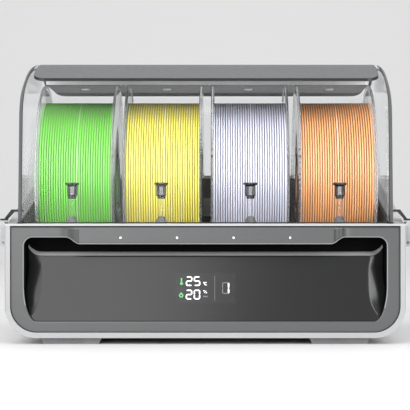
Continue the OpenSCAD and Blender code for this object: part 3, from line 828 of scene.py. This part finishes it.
def number_outlines(text, s):
    """Outlines of a two-digit number with its foot at s."""
    made = []
    for x, name in zip(DIGIT_X, text):
        made += digit(x, s, *DIGIT_SIZE, SEGMENTS[name], DIGIT_THICK)
    return made


def unit_marks(s_mid):
    """Small plain marks behind the numbers: a degree mark and a percent mark."""
    degree = [disc(-1.6, s_mid + 5.4, 0.55),
              bar(-0.6, s_mid + 3.2, 1.4, s_mid + 3.2, 0.5),
              bar(-0.7, s_mid + 3.2, -0.7, s_mid + 5.6, 0.5),
              bar(-0.6, s_mid + 5.6, 1.4, s_mid + 5.6, 0.5)]
    percent = [disc(-1.4, s_mid - 2.4, 0.5),
               disc(1.0, s_mid - 4.4, 0.5),
               bar(-1.2, s_mid - 4.6, 0.9, s_mid - 2.2, 0.4)]
    return degree + percent


def thermometer(s_mid):
    """A bulb with a tube above it, which ends in a point."""
    x, foot, shoulder, tip = THERMOMETER_X, s_mid + 5.2, s_mid + 9.6, s_mid + 10.2
    tube = [(x - 0.7, foot), (x + 0.7, foot), (x + 0.7, shoulder), (x, tip), (x - 0.7, shoulder)]
    return [disc(x, s_mid + 4.6, 1.5), tube]


def water_drop(s_mid):
    """A disc whose top is drawn up to a point."""
    middle = s_mid - 7.0
    made = []
    for x, s in disc(DROP_X, middle, DROP_R):
        near = max(0.0, 1 - abs(x - DROP_X) / 0.9)
        made.append((x, s + 1.2 * near if s > middle + 1.0 else s))
    return made


def glass_outline(half_w, half_h, s_mid):
    """A rectangle with round corners."""
    outline = []
    for side_x, side_s, start in ((1, 1, 0), (-1, 1, 90), (-1, -1, 180), (1, -1, 270)):
        for k in range(5):
            a = math.radians(start + 22.5 * k)
            outline.append((side_x * (half_w - GLASS_R) + GLASS_R * math.cos(a),
                            s_mid + side_s * (half_h - GLASS_R) + GLASS_R * math.sin(a)))
    return outline


def add_display():
    """The glass on the leaning panel, with two numbers, their icons and the slot's number on it."""
    low, high = box_mm("display_window")
    half_w = (high.x - low.x) / 2
    half_h = (high.z - low.z) / 2 / math.cos(WINDOW_LEAN)
    s_mid = (low.z - RECESS_LOW) / math.cos(WINDOW_LEAN) + half_h
    glass = plate_piece("display_glass", [glass_outline(half_w, half_h, s_mid)], -1.0, GLASS_OUT,
                        "display_black")
    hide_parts("display_window")
    slot_digit = (16.2, s_mid - 5.0, 5.6, 10.4)
    lit = number_outlines("25", s_mid + TOP_ROW) + number_outlines("20", s_mid + LOW_ROW)
    lit += digit(*slot_digit, SEGMENTS["1"], 1.25)
    lit += unit_marks(s_mid)
    faint = digit(*slot_digit, "afed", 0.9)
    faint.append(strip(DIVIDER_X, s_mid - DIVIDER_HALF, DIVIDER_X + 0.4, s_mid + DIVIDER_HALF))
    faint.append(strip(-2.0, s_mid - 8.6, 2.0, s_mid - 7.4))
    green = thermometer(s_mid) + [water_drop(s_mid)]
    drop_hole = [disc(DROP_X, s_mid - 7.0, 0.9)]
    plate_piece("display_digits", lit, MARK_OUT, MARK_OUT + 0.08, "digit_white")
    plate_piece("display_faint_marks", faint, MARK_OUT, MARK_OUT + 0.06, "digit_faint")
    plate_piece("display_icons", green, MARK_OUT, MARK_OUT + 0.08, "icon_green")
    plate_piece("display_icon_hole", drop_hole, MARK_OUT + 0.08, MARK_OUT + 0.14, "display_black")


# ---------------------------------------------------------------- lid

CAP_R = 12.0            # plan radius of the cap's corners
CAP_TAIL = 8.0          # how far the seam that shows lies ahead of the cap's hidden rear edge
CAP_THICK = 3.0
LID_THICK = 2.5
LID_ROUND = 7.0
CORNER_BAND = 3.4       # width of the band of painted shade on the thick corner between the lid's front and its sides
INNER_LINE = 0.8        # width of the line of painted shade beside it
REAR_RISE = 51.0        # how far the lid's rear edge lies above its front edge


def cubic(p, steps):
    """Points along a cubic curve with four control points, without the first."""
    made = []
    for i in range(1, steps + 1):
        t = i / steps
        w = ((1 - t) ** 3, 3 * t * (1 - t) ** 2, 3 * t * t * (1 - t), t ** 3)
        made.append(tuple(sum(w[k] * p[k][c] for k in range(4)) for c in range(2)))
    return made


def lid_profile():
    """Side outline of the lid as (y, z), from its front edge over the crown to its rear edge."""
    low, high = box_mm("lid_shell")
    crown = box_mm("lid_cap")[1].z
    front_y, front_low = low.y, low.z
    rear_y, rear_low = high.y, low.z + REAR_RISE
    front_steps = 14
    line = []
    for i in range(front_steps + 1):
        t = i / front_steps
        line.append((front_y + (-135 - front_y) * t, front_low + (218 - front_low) * t))
    line += cubic([(-135, 218), (-131, 240), (-112, 248), (-88, 258.5)], 16)
    line += cubic([(-88, 258.5), (-62, 269.9), (-30, crown), (8, crown)], 14)
    line += cubic([(8, crown), (70, crown), (112, 262), (134, 226)], 18)
    line += cubic([(134, 226), (143, 211), (rear_y, 190), (rear_y, rear_low)], 10)
    return line


def offset_line(line, amount):
    """The line moved inwards by amount."""
    moved = []
    for i, (y, z) in enumerate(line):
        a, b = line[max(0, i - 1)], line[min(len(line) - 1, i + 1)]
        ty, tz = b[0] - a[0], b[1] - a[1]
        size = math.hypot(ty, tz)
        moved.append((y + tz / size * amount, z - ty / size * amount))
    moved[0] = (moved[0][0], line[0][1])
    moved[-1] = (moved[-1][0], line[-1][1])
    return moved


def lid_skin(half, line):
    """Rings of the lid's outer surface across X, with round edges between its sides and its top."""
    arc_steps = 6
    left = []
    for k in range(arc_steps + 1):
        a = math.pi / 2 * k / arc_steps
        left.append((-half + LID_ROUND * (1 - math.cos(a)), LID_ROUND * (1 - math.sin(a))))
    middle = [(x, 0.0) for x in range(-150, 151, 50)]
    right = [(-x, inset) for x, inset in reversed(left)]
    return [[(x, y, z) for y, z in offset_line(line, inset)] for x, inset in left + middle + right]


def side_faces(base, count, flip):
    """Faces that close a side of the lid, between points that pair up along its outline."""
    faces = []
    for i in range((count - 1) // 2):
        j = count - 1 - i
        face = tuple(dict.fromkeys((base + i, base + i + 1, base + j - 1, base + j)))
        faces.append(tuple(reversed(face)) if flip else face)
    return faces


def add_lid():
    """The clear shell with the grey cap let into its crown, both cut from the same skin."""
    half = box_mm("lid_shell")[1].x
    line = lid_profile()
    rings = lid_skin(half, line)
    verts, faces = loft(rings, closed=False)
    count = len(line)
    faces += side_faces(0, count, False)
    faces += side_faces((len(rings) - 1) * count, count, True)
    shell = add_mesh("clear_lid", verts, faces, ["lid_clear"], "lid", ["lid_shell"])
    cap = add_mesh("crown_cap", verts, faces, ["cap_grey"], "lid", ["lid_cap"])
    cut_from_skin(shell, LID_THICK, "DIFFERENCE")
    cut_from_skin(cap, CAP_THICK, "INTERSECT")
    paint_lid_corners(shell, half)
    paint_cap_seam(cap)


def cut_from_skin(obj, thick, operation):
    """Gives the skin its wall, and keeps what lies outside or inside the cap's outline."""
    wall = obj.modifiers.new("wall", "SOLIDIFY")
    wall.thickness = thick * MM
    wall.offset = -1
    wall.use_even_offset = True
    cutter = cap_prism()
    cut = obj.modifiers.new("cut", "BOOLEAN")
    cut.object = cutter
    cut.operation = operation
    cut.solver = "EXACT"
    apply_modifiers(obj, 30.0)
    bpy.data.objects.remove(cutter)


def paint_lid_corners(shell, half):
    """Painted shade on the thick clear corners between the front and the sides, which look dark seen
    edge-on, with a darker painted line along their inner side.
    """
    mesh = shell.data
    mesh.materials.append(MATS["lid_corner_shade"])
    mesh.materials.append(MATS["lid_inner_shade_line"])
    for face in mesh.polygons:
        depth = half - abs(face.center.x) / MM
        on_side = abs(face.normal.x) > 0.97
        if not on_side and depth <= CORNER_BAND + INNER_LINE:
            face.material_index = 1 if depth < CORNER_BAND else 2


def paint_cap_seam(cap):
    """The cut edge all round the cap, which shows through the clear shell as a dark line."""
    cap.data.materials.append(MATS["cap_seam"])
    for face in cap.data.polygons:
        if abs(face.normal.z) < 0.05:
            face.material_index = 1


def cap_prism():
    """A cutter with the cap's plan outline: a rectangle with round corners."""
    low, high = box_mm("lid_cap")
    above_lid = high.z + 100.0
    outline = []
    for side_x, side_y, start in ((1, 1, 0), (-1, 1, 90), (-1, -1, 180), (1, -1, 270)):
        mid_x = high.x - CAP_R if side_x > 0 else low.x + CAP_R
        mid_y = high.y - CAP_TAIL - CAP_R if side_y > 0 else low.y + CAP_R
        for k in range(9):
            a = math.radians(start + 90 * k / 8)
            outline.append((mid_x + CAP_R * math.cos(a), mid_y + CAP_R * math.sin(a)))
    count = len(outline)
    verts = [(x * MM, y * MM, z * MM) for z in (low.z, above_lid) for x, y in outline]
    faces = [tuple(range(count - 1, -1, -1)), tuple(range(count, 2 * count))]
    faces += [(i, (i + 1) % count, count + (i + 1) % count, count + i) for i in range(count)]
    mesh = bpy.data.meshes.new("cutter")
    mesh.from_pydata(verts, [], faces)
    obj = bpy.data.objects.new("cutter", mesh)
    scene.collection.objects.link(obj)
    bpy.context.view_layer.update()
    return obj


# ---------------------------------------------------------------- spools

BORE_R = 27.0
HUB_R = 39.6
FLANGE = 2.0            # thickness of a flange
BEAD = 2.8              # width of the bead round its rim
NOTCHES = 120           # grips round the rim of each flange
NOTCH_DEPTH = 0.8
STRAND_PITCH = 2.45
STRAND_POINTS = 10      # points across one strand
WINDING_GAP = 0.05      # between the winding and the flanges
TURN_STEPS = 120
STRAND_TONE, VALLEY, STRAND_HIGHLIGHT = 0, 1, 2


def spool_profile(half, r):
    """Closed outline of a spool as (radius, x): a beaded flange and half the hub, then their mirror."""
    face, inside = -half, -half + BEAD
    rim = [(r - 4, face + 0.5), (r - 3, face), (r - 0.4, face), (r, face + 0.4),
           (r, inside - 0.4), (r - 0.4, inside), (r - 2.6, inside), (r - 3.2, face + FLANGE)]
    side = [(BORE_R, face), (BORE_R + 6, face), (BORE_R + 7, face + 0.5), *rim, (HUB_R, face + FLANGE)]
    return side + [(radius, -x) for radius, x in reversed(side)]


def add_spool(index):
    """A clear spool with a notched bead round each flange, and its winding."""
    node = f"spool_{index}"
    low, high = box_mm(node)
    centre = (low + high) / 2
    r = (high.z - low.z) / 2
    profile = spool_profile((high.x - low.x) / 2, r)
    verts, faces = lathe(profile, centre, "x", NOTCHES * 3)
    for number, point in enumerate(verts):
        step = number // len(profile)
        if step % 3 == 0 and math.hypot(point[1] - centre.y, point[2] - centre.z) > r - 0.5:
            for k in (1, 2):
                point[k] = centre[k] + (point[k] - centre[k]) * (1 - NOTCH_DEPTH / r)
    add_mesh(f"spool_body_{index}", verts, faces, ["spool_clear"], node, [node])
    add_winding(index, centre)


def winding_profile(width, r, strands):
    """Outline of the strands as (radius, x from the middle), closed by two points at the hub."""
    depth = width / strands * 0.5
    lift = [random.uniform(-0.05, 0.05) for _ in range(strands + 2)]
    half = width / 2 - WINDING_GAP
    last = strands * STRAND_POINTS
    profile = []
    for k in range(last + 1):
        strand, place = divmod(k, STRAND_POINTS)
        crown = math.sqrt(max(0.0, 1 - (2 * place / STRAND_POINTS - 1) ** 2))
        profile.append((r - 0.06 - depth * (1 - crown) + lift[strand], -half + 2 * half * k / last))
    hub = HUB_R + 0.5
    return profile + [(hub, half), (hub, -half)]


def add_winding(index, centre):
    """Strands side by side, with painted shade in the valleys and a painted highlight on the middle
    strand.
    """
    low, high = box_mm(f"filament_{index}")
    width = high.x - low.x
    strands = round(width / STRAND_PITCH)
    profile = winding_profile(width, (high.z - low.z) / 2, strands)
    verts, faces = lathe(profile, centre, "x", TURN_STEPS)
    tones = []
    for f in range(len(faces)):
        i = f % len(profile)
        strand, place = divmod(i, STRAND_POINTS)
        in_valley = place in (0, 1, STRAND_POINTS - 1) and i < strands * STRAND_POINTS
        # valley faces get painted shade, and the middle strand a painted highlight
        tones.append(VALLEY if in_valley else STRAND_HIGHLIGHT if strand == strands // 2 else STRAND_TONE)
    slot = FILAMENT_SLOTS[index - 1]
    add_mesh(f"winding_{index}", verts, faces, [slot, slot + "_valley", slot + "_strand_highlight"],
             f"spool_{index}", [f"filament_{index}"], tones, 75.0)


# ---------------------------------------------------------------- guide funnels

FUNNEL_BORE = 1.6
FUNNEL_FOOT = 3.6       # height of the lower flange
FUNNEL_STEPS = 32


def join(points, polys, new_points, new_polys):
    """Adds one mesh's points and faces to another's."""
    base = len(points)
    points += new_points
    polys += [tuple(base + i for i in face) for face in new_polys]


def funnel_post(x0, x1, y0, y1, z0, z1):
    """A square post between two corners."""
    corners = [(x0, y0), (x1, y0), (x1, y1), (x0, y1)]
    points = [(x, y, z) for z in (z0, z1) for x, y in corners]
    return points, [(0, 1, 2, 3), (4, 7, 6, 5), (0, 4, 5, 1), (1, 5, 6, 2), (2, 6, 7, 3), (3, 7, 4, 0)]


def add_funnels():
    """Four guides: a lower flange, two black posts beside a grey metal core, which also paints the
    highlight down each funnel's middle, and a flared rim.
    """
    low, high = box_mm("guide_funnels")
    y = (low.y + high.y) / 2
    rim, height = (high.y - low.y) / 2, high.z - low.z
    core_top = height * 0.76
    foot = [(FUNNEL_BORE, 0), (rim * 0.5, 0), (rim * 0.55, 0.4), (rim * 0.55, 2.2), (rim * 0.72, 2.6),
            (rim * 0.72, FUNNEL_FOOT), (FUNNEL_BORE, FUNNEL_FOOT)]
    flare = [(rim * 0.5, core_top), (rim * 0.84, height - 2.4), (rim - 0.3, height - 2.0),
             (rim, height - 1.6), (rim, height - 0.4), (rim - 0.4, height), (rim - 1.2, height),
             (FUNNEL_BORE + 0.6, height * 0.7), (FUNNEL_BORE, height * 0.7)]
    core = [(FUNNEL_BORE, FUNNEL_FOOT), (rim * 0.47, FUNNEL_FOOT),
            (rim * 0.47, core_top), (FUNNEL_BORE, core_top)]
    frame_verts, frame_faces, core_verts, core_faces = [], [], [], []
    for number in SPOOLS:
        x = centre_mm(f"spool_{number}").x
        place = (x, y, low.z)
        join(frame_verts, frame_faces, *lathe(foot, place, "z", FUNNEL_STEPS))
        join(frame_verts, frame_faces, *lathe(flare, place, "z", FUNNEL_STEPS))
        join(core_verts, core_faces, *lathe(core, place, "z", FUNNEL_STEPS))
        for side in (-1, 1):
            post = funnel_post(x + side * rim * 0.5, x + side * rim * 0.7, y - 1.8, y + 1.8,
                               low.z + 3.0, high.z - 2.6)
            join(frame_verts, frame_faces, *post)
    add_mesh("funnel_frames", frame_verts, frame_faces, ["black_plastic"], BASE,
             ["guide_funnels"])
    add_mesh("funnel_cores", core_verts, core_faces, ["funnel_core_and_highlight"], BASE)


# ---------------------------------------------------------------- CAD nodes kept as they are

# Edge rounding in mm.
SOFTENED = {
    "outer_shell": 1.0, "bottom_cover": 0.3, "rim_trim": 0.5, "inner_tub": 0.5, "feet": 0.8,
    "desiccant_boxes": 0.4, "roller_brackets": 0.5, "drive_motors": 0.4, "feeder_housings": 0.6,
    "filament_hub": 0.5, "outlet_port": 0.3, "signal_sockets": 0.3, "hinge_brackets": 0.5,
    "lid_knuckles": 0.5, "lid_lugs": 0.4, "latch_left": 0.5, "latch_right": 0.5, "latch_brackets": 0.4,
    "lid_liner": 0.3, "lid_lamps": 0.55, "humidity_sensor": 0.4, "inlet_collars": 0.25,
    "control_board": 0.2,
}


def paint_liner():
    """The tray under the cap: a lighter grey painted as highlight on its front-facing faces, and a darker
    grey painted as shade on its downward faces.
    """
    mesh = frame["nodes"]["lid_liner"].data
    mesh.materials.append(MATS["liner_front_highlight"])
    mesh.materials.append(MATS["liner_under_shade"])
    for face in mesh.polygons:
        if face.normal.y < -0.7:
            face.material_index = 1
        elif face.normal.z < -0.7:
            face.material_index = 2


def finish_cad_nodes():
    """Paints every CAD node by its slot in the record, and rounds the edges of those that show."""
    for part in frame["record"]["subparts"]:
        paint(part["node"], part["material_slot"])
    paint("lid_lamps", "lamp_dim")
    paint("latch_pins", "pin_steel")
    paint_liner()
    for node, width in SOFTENED.items():
        soften(node, width)


add_camera()
add_stage()
finish_cad_nodes()
add_front_panel()
add_recess_panel()
add_display()
add_lid()
add_funnels()
for number in SPOOLS:
    add_spool(number)

scene.view_settings.view_transform = "Standard"
